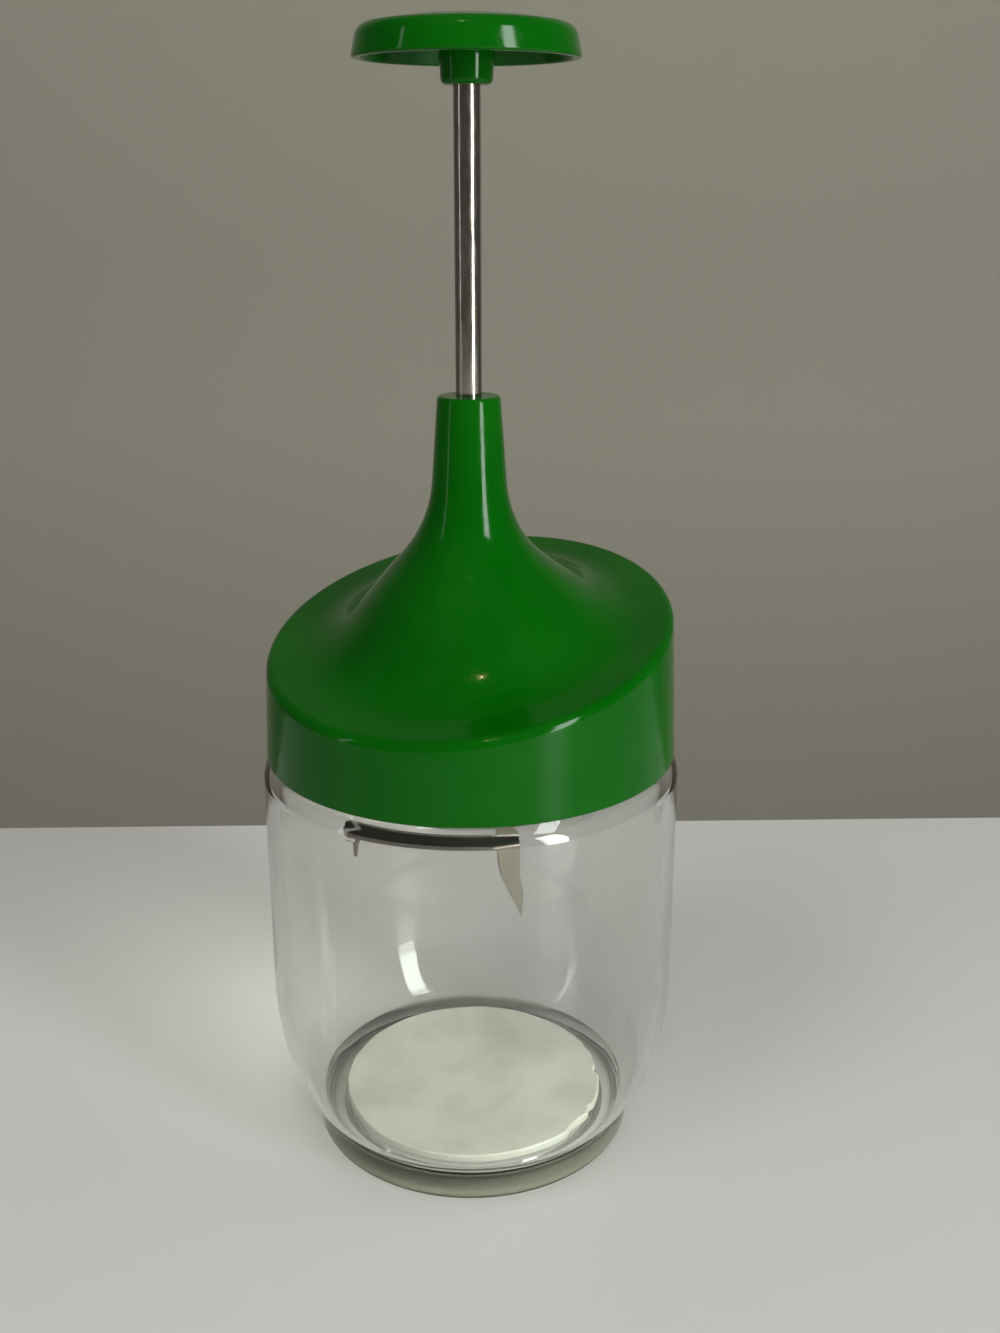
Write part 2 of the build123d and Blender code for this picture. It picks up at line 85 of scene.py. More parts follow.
def add_node(tree: bpy.types.NodeTree, kind: str, settings: dict[str, Any] | None = None,
             links: dict[Any, Any] | None = None) -> bpy.types.Node:
    """Add a node with its settings, input values and links.

    Args:
        tree: the node tree that gets the node.
        kind: the node's Blender type name.
        settings: attributes of the node itself.
        links: for each input name or number, a socket to link from or a value to set.

    Returns:
        The new node.
    """
    node = tree.nodes.new(kind)
    for attribute, value in (settings or {}).items():
        setattr(node, attribute, value)
    for key, source in (links or {}).items():
        if isinstance(source, bpy.types.NodeSocket):
            tree.links.new(source, node.inputs[key])
        else:
            node.inputs[key].default_value = source
    return node


def ramp(tree: bpy.types.NodeTree, source: bpy.types.NodeSocket, low: float, high: float,
         to_low: float, to_high: float) -> bpy.types.NodeSocket:
    """Map a value's range onto another, clamped.

    Args:
        tree: the node tree.
        source: the value to map.
        low: source value that becomes to_low.
        high: source value that becomes to_high.
        to_low: result at low.
        to_high: result at high.

    Returns:
        The mapped value's socket.
    """
    links = {"Value": source, "From Min": low, "From Max": high, "To Min": to_low, "To Max": to_high}
    return add_node(tree, "ShaderNodeMapRange", {"clamp": True}, links).outputs["Result"]


# ---- finishes -----------------------------------------------------------------------------------
@dataclass(frozen=True)
class Finish:
    """A surface finish; its subclasses say how the real material looks."""

    name: str

    def material(self) -> bpy.types.Material:
        """Make this finish's material, or find it when it is made already.

        Returns:
            The material.
        """
        made = bpy.data.materials.get(self.name)
        if made:
            return made
        material = bpy.data.materials.new(self.name)
        material.use_nodes = True
        tree = material.node_tree
        tree.nodes.clear()
        shader = add_node(tree, "ShaderNodeBsdfPrincipled")
        output = add_node(tree, "ShaderNodeOutputMaterial", links={"Surface": shader.outputs[0]})
        place = add_node(tree, "ShaderNodeTexCoord").outputs["Object"]
        self.dress(tree, shader, output, place)
        return material

    def dress(self, tree: bpy.types.NodeTree, shader: bpy.types.Node, output: bpy.types.Node,
              place: bpy.types.NodeSocket) -> None:
        """Set the shader's sockets and patterns.

        Args:
            tree: the material's node tree.
            shader: its Principled shader.
            output: its output node.
            place: object coordinates, in metres.
        """
        raise NotImplementedError


def noise_value(tree: bpy.types.NodeTree, place: bpy.types.NodeSocket, grain_mm: float,
                stretch: Sequence[float] = (1, 1, 1), detail: float = 3.0) -> bpy.types.NodeSocket:
    """Noise whose patches are about grain_mm across.

    Args:
        tree: the material's node tree.
        place: the coordinates in metres.
        grain_mm: size of a patch in millimetres.
        stretch: how many times finer the patches are along X, Y and Z.
        detail: octaves of noise.

    Returns:
        The noise value's socket, from 0 to 1.
    """
    mapped = add_node(tree, "ShaderNodeMapping", links={"Vector": place, "Scale": tuple(stretch)})
    links = {"Vector": mapped.outputs[0], "Scale": 1 / (grain_mm * MM), "Detail": detail}
    return add_node(tree, "ShaderNodeTexNoise", links=links).outputs[0]


def bump(tree: bpy.types.NodeTree, height: bpy.types.NodeSocket, depth_mm: float,
         strength: float = 1.0) -> bpy.types.NodeSocket:
    """Bump from a height value that is depth_mm deep."""
    links = {"Height": height, "Distance": depth_mm * MM, "Strength": strength}
    return add_node(tree, "ShaderNodeBump", links=links).outputs[0]


@dataclass(frozen=True)
class MouldedPlastic(Finish):
    """Injection-moulded plastic: the polished mould gives a gloss with faint waves and handling wear."""

    colour: str = "#025403"
    worn_colour: str = "#085a07"
    roughness: tuple[float, float] = (0.07, 0.2)
    ior: float = 1.53
    shine: float = 0.16
    swirl_mm: float = 22.0
    smear_mm: float = 9.0
    rub_mm: float = 0.8
    wave_mm: float = 5.0
    wave_depth_mm: float = 0.006

    def dress(self, tree: bpy.types.NodeTree, shader: bpy.types.Node, output: bpy.types.Node,
              place: bpy.types.NodeSocket) -> None:
        """Gloss with soft smears, hair-fine rub marks and the mould's slight waviness.

        Args:
            tree: the material's node tree.
            shader: its Principled shader.
            output: its output node.
            place: object coordinates, in metres.
        """
        # pigment swirls: barely lighter patches a few centimetres across
        swirl = noise_value(tree, place, self.swirl_mm, detail=2.0)
        share = ramp(tree, swirl, 0.35, 0.7, 0.0, 1.0)
        mix = {0: share, 6: linear(self.colour), 7: linear(self.worn_colour)}
        colour = add_node(tree, "ShaderNodeMix", {"data_type": "RGBA"}, mix).outputs[2]
        tree.links.new(colour, shader.inputs["Base Color"])
        # finger smears blur the gloss in patches, and fine rubbing adds a grain inside them
        smear = noise_value(tree, place, self.smear_mm, detail=4.0)
        rub = noise_value(tree, place, self.rub_mm, stretch=(1, 1, 0.25), detail=2.0)
        worn = add_node(tree, "ShaderNodeMath", {"operation": "MULTIPLY"}, {0: smear, 1: rub}).outputs[0]
        gloss = ramp(tree, worn, 0.18, 0.42, self.roughness[0], self.roughness[1])
        tree.links.new(gloss, shader.inputs["Roughness"])
        wave = noise_value(tree, place, self.wave_mm, detail=1.0)
        tree.links.new(bump(tree, wave, self.wave_depth_mm), shader.inputs["Normal"])
        shader.inputs["IOR"].default_value = self.ior
        shader.inputs["Specular IOR Level"].default_value = self.shine


@dataclass(frozen=True)
class PressedGlass(Finish):
    """Soda-lime glass pressed in a mould: clear, a little green where thick, gently wavy."""

    tint: str = "#f8f8f6"
    shade: str = "#f0f0ee"
    # darker olive of the foot ring: partly thick glass, partly painted shade of the dark underside seen
    # through it
    foot_tint_and_painted_shade: str = "#999d82"
    foot_edge_mm: tuple[float, float] = (38.6, 40.0)
    foot_mm: tuple[float, float] = (7.6, 9.4)
    thick_colour: str = "#94987f"
    density: float = 9.0
    ior: float = 1.51
    mark_mm: float = 7.0
    wave_mm: float = 16.0
    wave_depth_mm: float = 0.05

    def dress(self, tree: bpy.types.NodeTree, shader: bpy.types.Node, output: bpy.types.Node,
              place: bpy.types.NodeSocket) -> None:
        """Clear refraction, slow waves from the mould, absorption that greens the thick foot, and a darker
        foot tint that is partly painted shade.

        Args:
            tree: the material's node tree.
            shader: its Principled shader.
            output: its output node.
            place: object coordinates, in metres.
        """
        # the foot ring gets a darker olive colour: partly the green of its thick glass, partly painted shade
        # of the dark underside seen through it
        x, y, height = add_node(tree, "ShaderNodeSeparateXYZ", links={0: place}).outputs
        flat = add_node(tree, "ShaderNodeCombineXYZ", links={0: x, 1: y}).outputs[0]
        out = add_node(tree, "ShaderNodeVectorMath", {"operation": "LENGTH"}, {0: flat}).outputs["Value"]
        low = ramp(tree, height, self.foot_mm[0] * MM, self.foot_mm[1] * MM, 1.0, 0.0)
        rim = ramp(tree, out, self.foot_edge_mm[0] * MM, self.foot_edge_mm[1] * MM, 0.0, 1.0)
        foot = add_node(tree, "ShaderNodeMath", {"operation": "MULTIPLY"}, {0: low, 1: rim}).outputs[0]
        mix = {0: foot, 6: linear(self.tint), 7: linear(self.foot_tint_and_painted_shade)}
        colour = add_node(tree, "ShaderNodeMix", {"data_type": "RGBA"}, mix).outputs[2]
        tree.links.new(colour, shader.inputs["Base Color"])
        shader.inputs["Transmission Weight"].default_value = 1.0
        shader.inputs["IOR"].default_value = self.ior
        # lamps shine through the glass to what stands in it
        clear = add_node(tree, "ShaderNodeBsdfTransparent", links={0: linear(self.shade)})
        lamp_ray = add_node(tree, "ShaderNodeLightPath").outputs["Is Shadow Ray"]
        parts = {0: lamp_ray, 1: shader.outputs[0], 2: clear.outputs[0]}
        both = add_node(tree, "ShaderNodeMixShader", links=parts)
        tree.links.new(both.outputs[0], output.inputs["Surface"])
        # rinse marks: faint dull patches over the glass
        mark = noise_value(tree, place, self.mark_mm, stretch=(1, 1, 0.4), detail=4.0)
        tree.links.new(ramp(tree, mark, 0.6, 0.78, 0.0, 0.05), shader.inputs["Roughness"])
        wave = noise_value(tree, place, self.wave_mm, stretch=(1, 1, 0.5), detail=1.0)
        tree.links.new(bump(tree, wave, self.wave_depth_mm), shader.inputs["Normal"])
        absorb = add_node(tree, "ShaderNodeVolumeAbsorption")
        absorb.inputs["Color"].default_value = linear(self.thick_colour)
        absorb.inputs["Density"].default_value = self.density
        tree.links.new(absorb.outputs[0], output.inputs["Volume"])


@dataclass(frozen=True)
class DrawnSteel(Finish):
    """Steel bar or wire, drawn and polished: a sharp mirror broken by fine lines round or along it."""

    colour: str = "#aaa298"
    roughness: tuple[float, float] = (0.1, 0.26)
    line_mm: float = 0.35
    stretch: tuple[float, float, float] = (1.0, 1.0, 0.06)
    line_depth_mm: float = 0.004
    stain: str = "#7d6f60"
    stain_mm: float = 6.0
    metallic: float = 1.0

    def dress(self, tree: bpy.types.NodeTree, shader: bpy.types.Node, output: bpy.types.Node,
              place: bpy.types.NodeSocket) -> None:
        """Metal with drawn lines and a few brownish stains.

        Args:
            tree: the material's node tree.
            shader: its Principled shader.
            output: its output node.
            place: object coordinates, in metres.
        """
        shader.inputs["Metallic"].default_value = self.metallic
        cloud = noise_value(tree, place, self.stain_mm, stretch=(1, 1, 0.35), detail=4.0)
        share = ramp(tree, cloud, 0.52, 0.75, 0.0, 0.6)
        mix = {0: share, 6: linear(self.colour), 7: linear(self.stain)}
        colour = add_node(tree, "ShaderNodeMix", {"data_type": "RGBA"}, mix).outputs[2]
        tree.links.new(colour, shader.inputs["Base Color"])
        lines = noise_value(tree, place, self.line_mm, stretch=self.stretch, detail=2.0)
        gloss = ramp(tree, lines, 0.3, 0.7, self.roughness[0], self.roughness[1])
        tree.links.new(gloss, shader.inputs["Roughness"])
        tree.links.new(bump(tree, lines, self.line_depth_mm), shader.inputs["Normal"])


@dataclass(frozen=True)
class CutPolyethylene(Finish):
    """Polyethylene sheet used as a chopping board: satin, off-white, scored by the teeth."""

    colour: str = "#dcddd3"
    stain: str = "#c9cabc"
    stain_mm: float = 14.0
    cuts_along_mm: float = 1.6
    cuts_across_mm: float = 1.9
    cut_depth_mm: float = 0.05
    ior: float = 1.51

    def dress(self, tree: bpy.types.NodeTree, shader: bpy.types.Node, output: bpy.types.Node,
              place: bpy.types.NodeSocket) -> None:
        """Milky colour with faint food stains and short cuts in every direction.

        Args:
            tree: the material's node tree.
            shader: its Principled shader.
            output: its output node.
            place: object coordinates, in metres.
        """
        cloud = noise_value(tree, place, self.stain_mm, detail=4.0)
        share = ramp(tree, cloud, 0.4, 0.7, 0.0, 1.0)
        mix = {0: share, 6: linear(self.colour), 7: linear(self.stain)}
        colour = add_node(tree, "ShaderNodeMix", {"data_type": "RGBA"}, mix).outputs[2]
        tree.links.new(colour, shader.inputs["Base Color"])
        cuts_along = noise_value(tree, place, self.cuts_along_mm, stretch=(0.12, 2.2, 1), detail=2.0)
        cuts_across = noise_value(tree, place, self.cuts_across_mm, stretch=(2.0, 0.14, 1), detail=2.0)
        cuts = add_node(tree, "ShaderNodeMath", {"operation": "MAXIMUM"}, {0: cuts_along, 1: cuts_across})
        tree.links.new(ramp(tree, cuts.outputs[0], 0.45, 0.8, 0.32, 0.6), shader.inputs["Roughness"])
        tree.links.new(bump(tree, cuts.outputs[0], self.cut_depth_mm, 0.6), shader.inputs["Normal"])
        shader.inputs["Subsurface Weight"].default_value = 0.15
        shader.inputs["Subsurface Radius"].default_value = (0.003, 0.003, 0.0025)
        shader.inputs["IOR"].default_value = self.ior


@dataclass(frozen=True)
class DullPart(Finish):
    """Rubber, nylon and other small inner pieces: matt, with a moulded or cut grain."""

    colour: str = "#2a2a2a"
    shade: str = "#1c1c1c"
    roughness: tuple[float, float] = (0.5, 0.75)
    grain_mm: float = 0.6
    grain_depth_mm: float = 0.01
    cloud_mm: float = 4.0

    def dress(self, tree: bpy.types.NodeTree, shader: bpy.types.Node, output: bpy.types.Node,
              place: bpy.types.NodeSocket) -> None:
        """Soft colour change and a fine grain.

        Args:
            tree: the material's node tree.
            shader: its Principled shader.
            output: its output node.
            place: object coordinates, in metres.
        """
        grain = noise_value(tree, place, self.grain_mm, detail=3.0)
        cloud = noise_value(tree, place, self.cloud_mm, detail=2.0)
        mix = {0: cloud, 6: linear(self.colour), 7: linear(self.shade)}
        colour = add_node(tree, "ShaderNodeMix", {"data_type": "RGBA"}, mix).outputs[2]
        tree.links.new(colour, shader.inputs["Base Color"])
        gloss = ramp(tree, grain, 0.3, 0.7, self.roughness[0], self.roughness[1])
        tree.links.new(gloss, shader.inputs["Roughness"])
        tree.links.new(bump(tree, grain, self.grain_depth_mm), shader.inputs["Normal"])


class Finishes(Enum):
    """The finishes of this chopper, each tied to its slot in the record."""

    GREEN = ("green_plastic", MouldedPlastic("green_polystyrene"))
    GLASS = ("clear_glass", PressedGlass("soda_lime_glass"))
    BOARD = ("white_plastic", CutPolyethylene("polyethylene_board"))
    BAR = ("polished_steel", DrawnSteel("polished_steel_bar"))
    SHEET = ("stainless_sheet", DrawnSteel(
        "stamped_stainless", colour="#847d74", roughness=(0.34, 0.5), metallic=0.8, line_mm=0.5,
        stretch=(0.1, 1.0, 1.0), stain="#6e6355"))
    WIRE = ("spring_steel", DrawnSteel("spring_wire", colour="#8a8886", roughness=(0.25, 0.4)))
    ZINC = ("zinc_steel", DrawnSteel("zinc_plate", colour="#b4b6b8", roughness=(0.3, 0.45)))
    RUBBER = ("grey_rubber", DullPart("nitrile_rubber"))
    NYLON = ("natural_nylon", DullPart("natural_nylon_bush", colour="#d8d0bc", shade="#cbc2ab",
                                       roughness=(0.35, 0.5)))

    @property
    def slot(self) -> str:
        """The record's material slot."""
        return self.value[0]

    @property
    def material(self) -> bpy.types.Material:
        """The finish's material."""
        return self.value[1].material()


# ---- mesh helpers -------------------------------------------------------------------------------
def rounded(corners: Sequence[Corner], step_deg: float = 7.0) -> list[Point]:
    """Round the corners of an outline with arcs.

    Args:
        corners: (radius from the axis, height, corner radius) of each corner, in millimetres.
        step_deg: largest turn between two points of an arc.

    Returns:
        The points of the rounded outline, from first corner to last.
    """
    points: list[Point] = []
    for index, (x, z, radius) in enumerate(corners):
        here = Vector((x, z))
        if radius <= 0 or index in (0, len(corners) - 1):
            points.append((x, z))
            continue
        back = (Vector(corners[index - 1][:2]) - here).normalized()
        ahead = (Vector(corners[index + 1][:2]) - here).normalized()
        turn = math.pi - back.angle(ahead)
        reach = radius * math.tan(turn / 2)
        centre = here + (back + ahead).normalized() * (radius / math.cos(turn / 2))
        start = here + back * reach - centre
        side = 1 if back.x * ahead.y - back.y * ahead.x < 0 else -1
        steps = max(2, math.ceil(math.degrees(turn) / step_deg))
        for step in range(steps + 1):
            spun = Matrix.Rotation(side * turn * step / steps, 2) @ start
            points.append(tuple(centre + spun))
    return points


def spread(points: Sequence[Point], longest_mm: float) -> list[Point]:
    """Add points to an outline so that no stretch is too long.

    Args:
        points: the outline's points, in millimetres.
        longest_mm: the longest stretch that stays.

    Returns:
        The outline with its added points.
    """
    result = [points[0]]
    for start, end in zip(points, points[1:]):
        pieces = max(1, math.ceil(math.dist(start, end) / longest_mm))
        for piece in range(1, pieces + 1):
            share = piece / pieces
            result.append((start[0] + (end[0] - start[0]) * share, start[1] + (end[1] - start[1]) * share))
    return result


def lathe(name: str, outline: Sequence[Point], segments: int = 128) -> bpy.types.Object:
    """Turn an outline round the Z axis into a closed mesh.

    Args:
        name: the object's name.
        outline: (radius, height) points in millimetres; it closes on the axis or on itself.
        segments: faces round the axis.

    Returns:
        The new object, at the origin.
    """
    shape = bmesh.new()
    rings = []
    for radius, height in outline:
        if radius < 1e-6:
            rings.append([shape.verts.new((0, 0, height * MM))] * segments)
            continue
        turns = (2 * math.pi * s / segments for s in range(segments))
        rings.append([shape.verts.new((radius * math.cos(t) * MM, radius * math.sin(t) * MM, height * MM))
                      for t in turns])
    closed = outline[0][0] > 1e-6
    pairs = list(zip(rings, rings[1:] + rings[:1] if closed else rings[1:]))
    for lower, upper in pairs:
        for s in range(segments):
            n = (s + 1) % segments
            corners = list(dict.fromkeys((lower[s], lower[n], upper[n], upper[s])))
            if len(corners) > 2:
                shape.faces.new(corners)
    bmesh.ops.remove_doubles(shape, verts=shape.verts, dist=1e-7)
    bmesh.ops.recalc_face_normals(shape, faces=shape.faces)
    return finish_mesh(name, shape)


def finish_mesh(name: str, shape: bmesh.types.BMesh, sharp_deg: float = 32.0) -> bpy.types.Object:
    """Make an object from a bmesh, shaded smooth with its sharp edges kept.

    Args:
        name: the object's name.
        shape: the bmesh, which is freed.
        sharp_deg: edges that turn by more than this stay sharp.

    Returns:
        The new object, at the origin.
    """
    mesh = bpy.data.meshes.new(name)
    shape.to_mesh(mesh)
    shape.free()
    mesh.shade_smooth()
    mesh.set_sharp_from_angle(angle=math.radians(sharp_deg))
    piece = bpy.data.objects.new(name, mesh)
    bpy.context.scene.collection.objects.link(piece)
    return piece


def dress(piece: bpy.types.Object, finish: Finishes, body: str, *nodes: str) -> None:
    """Give a piece its material, let it ride on a body and stand for CAD nodes.

    Args:
        piece: the finished piece.
        finish: its finish.
        body: the body it moves with.
        nodes: the CAD nodes that it replaces.
    """
    piece.data.materials.clear()
    piece.data.materials.append(finish.material)
    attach(piece, body)
    for node in nodes:
        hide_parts(node)
    log.info("%s: %d faces, rides on %s", piece.name, len(piece.data.polygons), body)


def dress_node(node: str, finish: Finishes) -> None:
    """Give a CAD node that stays in view its detailed material.

    Args:
        node: the node's name.
        finish: its finish.
    """
    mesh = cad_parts[node].data
    mesh.materials.clear()
    mesh.materials.append(finish.material)
    log.info("%s: CAD node, dressed in %s", node, finish.material.name)


# ---- geometry node trees ------------------------------------------------------------------------
class GeometryTree:
    """A geometry node tree with named inputs, built in the script."""

    def __init__(self, name: str, inputs: dict[str, tuple[str, Any]]) -> None:
        """Start a tree.

        Args:
            name: the tree's name.
            inputs: for each input's name, its socket type and default value.
        """
        self.tree = bpy.data.node_groups.new(name, "GeometryNodeTree")
        face = self.tree.interface
        face.new_socket("Geometry", in_out="INPUT", socket_type="NodeSocketGeometry")
        for label, (kind, default) in inputs.items():
            socket = face.new_socket(label, in_out="INPUT", socket_type=kind)
            if default is not None:
                socket.default_value = default
        face.new_socket("Geometry", in_out="OUTPUT", socket_type="NodeSocketGeometry")
        self.source = add_node(self.tree, "NodeGroupInput")

    def add(self, kind: str, settings: dict[str, Any] | None = None,
            links: dict[Any, Any] | None = None) -> bpy.types.Node:
        """Add a node to the tree."""
        return add_node(self.tree, kind, settings, links)

    def math(self, operation: str, *values: Any) -> bpy.types.NodeSocket:
        """Add a math node.

        Args:
            operation: the node's operation.
            values: sockets or numbers for its inputs.

        Returns:
            The result's socket.
        """
        return self.add("ShaderNodeMath", {"operation": operation}, dict(enumerate(values))).outputs[0]

    def finish(self, geometry: bpy.types.NodeSocket) -> None:
        """Realize the instances, set the material and close the tree.

        Args:
            geometry: the socket that carries the finished shape.
        """
        real = self.add("GeometryNodeRealizeInstances", links={"Geometry": geometry})
        links = {"Geometry": real.outputs[0], "Material": self.source.outputs["Material"]}
        painted = self.add("GeometryNodeSetMaterial", links=links)
        self.add("NodeGroupOutput", links={"Geometry": painted.outputs[0]})

    def bake(self, piece: bpy.types.Object, values: dict[str, Any]) -> None:
        """Run the tree on a piece and keep the result as its plain mesh.

        Args:
            piece: the object whose mesh goes through the tree.
            values: the tree's inputs, by name.
        """
        modifier = piece.modifiers.new(self.tree.name, "NODES")
        modifier.node_group = self.tree
        for item in self.tree.interface.items_tree:
            if item.item_type == "SOCKET" and item.in_out == "INPUT" and item.name in values:
                modifier[item.identifier] = values[item.name]
        bpy.context.view_layer.update()
        result = piece.evaluated_get(bpy.context.evaluated_depsgraph_get())
        mesh = bpy.data.meshes.new_from_object(result)
        piece.modifiers.remove(modifier)
        mesh.name = piece.name
        piece.data = mesh


def slant_tree() -> GeometryTree:
    """Build the rule of the lid's slant: each ring leans by its share of the slope.

    Returns:
        The tree. The share is 0 at the neck and the skirt's lower edge and 1 over the lid's top,
        and the skirt keeps its draft, so it narrows where the rim stands higher.
    """
    numbers = ("Slope", "Level Radius", "Slanted Radius", "Skirt Edge", "Top Height", "Draft")
    inputs = {label: ("NodeSocketFloat", 0.0) for label in numbers}
    rule = GeometryTree("lid_slant", {**inputs, "Material": ("NodeSocketMaterial", None)})
    given = rule.source.outputs
    place = rule.add("GeometryNodeInputPosition").outputs[0]
    x, y, z = rule.add("ShaderNodeSeparateXYZ", links={0: place}).outputs
    radius = rule.math("SQRT", rule.math("ADD", rule.math("POWER", x, 2.0), rule.math("POWER", y, 2.0)))
    smooth = {"interpolation_type": "SMOOTHSTEP", "clamp": True}
    out = rule.add("ShaderNodeMapRange", smooth, {
        "Value": radius, "From Min": given["Level Radius"], "From Max": given["Slanted Radius"]}).outputs[0]
    up = rule.add("ShaderNodeMapRange", {"clamp": True}, {
        "Value": z, "From Min": given["Skirt Edge"], "From Max": given["Top Height"]}).outputs[0]
    lift = rule.math("MULTIPLY", rule.math("MULTIPLY", out, up), rule.math("MULTIPLY", y, given["Slope"]))
    drawn_in = rule.math("MULTIPLY", lift, given["Draft"])
    narrow = rule.math("DIVIDE", drawn_in, rule.math("MAXIMUM", radius, 1e-6))
    # only the skirt is drafted: the draft fades out inside the slanted top
    drafted = rule.math("MULTIPLY", given["Slanted Radius"], 1.3)
    skirt = rule.add("ShaderNodeMapRange", smooth, {
        "Value": radius, "From Min": given["Slanted Radius"], "From Max": drafted}).outputs[0]
    keep = rule.math("SUBTRACT", 1.0, rule.math("MULTIPLY", narrow, skirt))
    moved = rule.add("ShaderNodeCombineXYZ", links={
        0: rule.math("MULTIPLY", x, keep), 1: rule.math("MULTIPLY", y, keep), 2: rule.math("ADD", z, lift)})
    placed = rule.add("GeometryNodeSetPosition", links={
        "Geometry": given["Geometry"], "Position": moved.outputs[0]})
    rule.finish(placed.outputs[0])
    return rule


def turned_copies_tree() -> GeometryTree:
    """Build a tree that repeats a piece round the Z axis, as for screws on a circle.

    Returns:
        The tree, with inputs for the number of copies and the first one's direction.
    """
    inputs = {"Count": ("NodeSocketInt", 3), "Start": ("NodeSocketFloat", 0.0)}
    copies = GeometryTree("turned_copies", {**inputs, "Material": ("NodeSocketMaterial", None)})
    given = copies.source.outputs
    points = copies.add("GeometryNodePoints", links={"Count": given["Count"]})
    index = copies.add("GeometryNodeInputIndex").outputs[0]
    step = copies.math("DIVIDE", 2 * math.pi, given["Count"])
    angle = copies.math("ADD", copies.math("MULTIPLY", index, step), given["Start"])
    turn = copies.add("ShaderNodeCombineXYZ", links={2: angle})
    placed = copies.add("GeometryNodeInstanceOnPoints", links={
        "Points": points.outputs[0], "Instance": given["Geometry"], "Rotation": turn.outputs[0]})
    copies.finish(placed.outputs[0])
    return copies


def coil_tree() -> GeometryTree:
    """Build a tree that winds a wire into a spring with closed end turns.

    Returns:
        The tree, with inputs for the coil's radius, height, turns, foot and wire.
    """
    numbers = ("Coil Radius", "Coil Height", "Turns", "Foot Height", "Wire Radius")
    inputs = {label: ("NodeSocketFloat", 0.0) for label in numbers}
    coil = GeometryTree("spring_coil", {**inputs, "Material": ("NodeSocketMaterial", None)})
    given = coil.source.outputs
    line = coil.add("GeometryNodeCurvePrimitiveLine", links={"Start": (0, 0, 0), "End": (1, 0, 0)})
    dense = coil.add("GeometryNodeResampleCurve", links={"Curve": line.outputs[0], "Count": COIL_POINTS})
    share = coil.add("GeometryNodeSplineParameter").outputs["Factor"]
    angle = coil.math("MULTIPLY", share, coil.math("MULTIPLY", given["Turns"], 2 * math.pi))
    # the end turns lie flat: the climb starts and stops slowly
    climb = coil.add("ShaderNodeMapRange", {"clamp": True}, {
        "Value": share, "From Min": 0.05, "From Max": 0.95, "To Min": 0.012, "To Max": 0.988}).outputs[0]
    height = coil.math("ADD", coil.math("MULTIPLY", climb, given["Coil Height"]), given["Foot Height"])
    spot = coil.add("ShaderNodeCombineXYZ", links={
        0: coil.math("MULTIPLY", coil.math("COSINE", angle), given["Coil Radius"]),
        1: coil.math("MULTIPLY", coil.math("SINE", angle), given["Coil Radius"]), 2: height})
    wound = coil.add("GeometryNodeSetPosition", links={
        "Geometry": dense.outputs[0], "Position": spot.outputs[0]})
    circle = coil.add("GeometryNodeCurvePrimitiveCircle", links={
        "Resolution": 10, "Radius": given["Wire Radius"]})
    tube = coil.add("GeometryNodeCurveToMesh", links={
        "Curve": wound.outputs[0], "Profile Curve": circle.outputs[0], "Fill Caps": True})
    smooth = coil.add("GeometryNodeSetShadeSmooth", links={"Geometry": tube.outputs[0], "Shade Smooth": True})
    coil.finish(smooth.outputs[0])
    return coil


